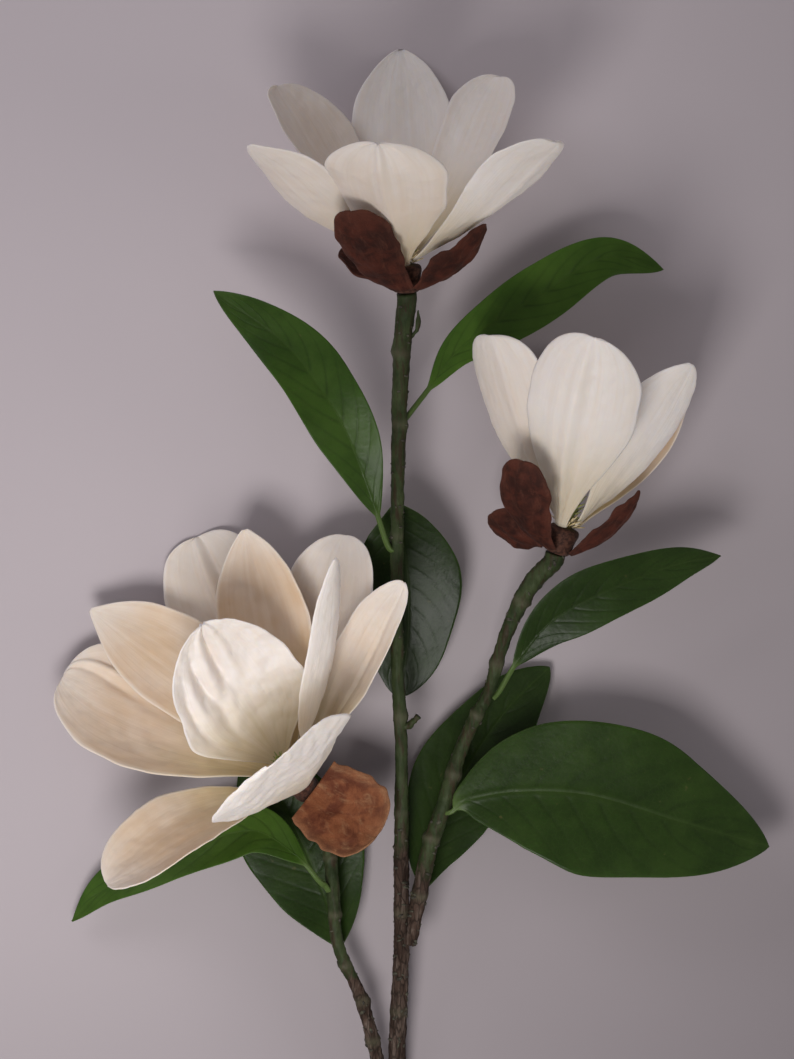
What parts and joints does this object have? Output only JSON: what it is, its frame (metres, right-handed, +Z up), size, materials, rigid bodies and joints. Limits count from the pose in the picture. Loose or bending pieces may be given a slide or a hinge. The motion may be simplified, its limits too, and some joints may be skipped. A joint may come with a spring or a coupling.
{
  "type": "magnolia branch",
  "caption": "cut branch of magnolia with open cream flowers, maroon sepals and glossy green leaves on a forked green-to-brown stem, lying on its side",
  "frame": {"origin": "centre of the footprint, on the plane the branch lies on (z = 0)", "axes": "+Y along the main stem from the cut end to the top flower, +X to the side of the side branch with the half-open flower, +Z up from the table"},
  "size_m": [0.327, 0.5406, 0.1224],
  "materials": {
    "main_stem": "green turning to brown bark at the cut end",
    "right_side_stem": "green turning to brown bark at the cut end",
    "left_side_stem": "green turning to brown bark at the cut end",
    "stem_bud": "dark green-brown",
    "twig_stub": "dark green-brown",
    "leaf_upper_left": "deep green, satin, lighter veins",
    "leaf_upper_right": "deep green, satin, lighter veins",
    "leaf_middle": "deep green, satin, lighter veins",
    "leaf_right": "deep green, satin, lighter veins",
    "leaf_behind_right": "deep green, satin, lighter veins",
    "leaf_big_right": "deep green, satin, lighter veins",
    "leaf_folded": "deep green, satin, lighter veins",
    "leaf_behind_left": "deep green, satin, lighter veins",
    "top_flower_centre": "yellow-green moulded centre",
    "top_flower_petals": "cream white, satin, soft foam or cloth petals",
    "top_flower_sepals": "dark maroon brown, suede-like, crinkled edge",
    "right_flower_centre": "yellow-green moulded centre",
    "right_flower_petals": "cream white, satin, soft foam or cloth petals",
    "right_flower_sepals": "dark maroon brown, suede-like, crinkled edge",
    "low_flower_centre": "yellow-green moulded centre",
    "low_flower_petals": "cream white, satin, soft foam or cloth petals",
    "low_flower_sepals": "rust brown mottled with tan, crinkled"
  },
  "bodies": {
    "root": {"main_stem": "main_stem", "right_side_stem": "right_side_stem", "left_side_stem": "left_side_stem", "stem_bud": "stem_bud", "twig_stub": "twig_stub", "leaf_upper_left": "leaf_upper_left", "leaf_upper_right": "leaf_upper_right", "leaf_middle": "leaf_middle", "leaf_right": "leaf_right", "leaf_behind_right": "leaf_behind_right", "leaf_big_right": "leaf_big_right", "leaf_folded": "leaf_folded", "leaf_behind_left": "leaf_behind_left", "top_flower_centre": "top_flower_centre", "top_flower_petal_back": "top_flower_petals", "top_flower_petal_left_back": "top_flower_petals", "top_flower_petal_right_back": "top_flower_petals", "top_flower_petal_left_front": "top_flower_petals", "top_flower_petal_right_front": "top_flower_petals", "top_flower_petal_front": "top_flower_petals", "top_flower_sepal_left": "top_flower_sepals", "top_flower_sepal_right": "top_flower_sepals", "top_flower_sepal_left_back": "top_flower_sepals", "right_flower_centre": "right_flower_centre", "right_flower_petal_back": "right_flower_petals", "right_flower_petal_left_front": "right_flower_petals", "right_flower_petal_front": "right_flower_petals", "right_flower_petal_right_front": "right_flower_petals", "right_flower_petal_right_back": "right_flower_petals", "right_flower_petal_left_back": "right_flower_petals", "right_flower_sepal_upper": "right_flower_sepals", "right_flower_sepal_right": "right_flower_sepals", "right_flower_sepal_left": "right_flower_sepals", "low_flower_centre": "low_flower_centre", "low_flower_petal_left": "low_flower_petals", "low_flower_petal_upper_left": "low_flower_petals", "low_flower_petal_upper": "low_flower_petals", "low_flower_petal_upper_middle": "low_flower_petals", "low_flower_petal_upper_right": "low_flower_petals", "low_flower_petal_right": "low_flower_petals", "low_flower_petal_spike": "low_flower_petals", "low_flower_petal_heart": "low_flower_petals", "low_flower_petal_front": "low_flower_petals", "low_flower_petal_lower_left": "low_flower_petals", "low_flower_sepal_lower_right": "low_flower_sepals"}
  },
  "joints": []
}
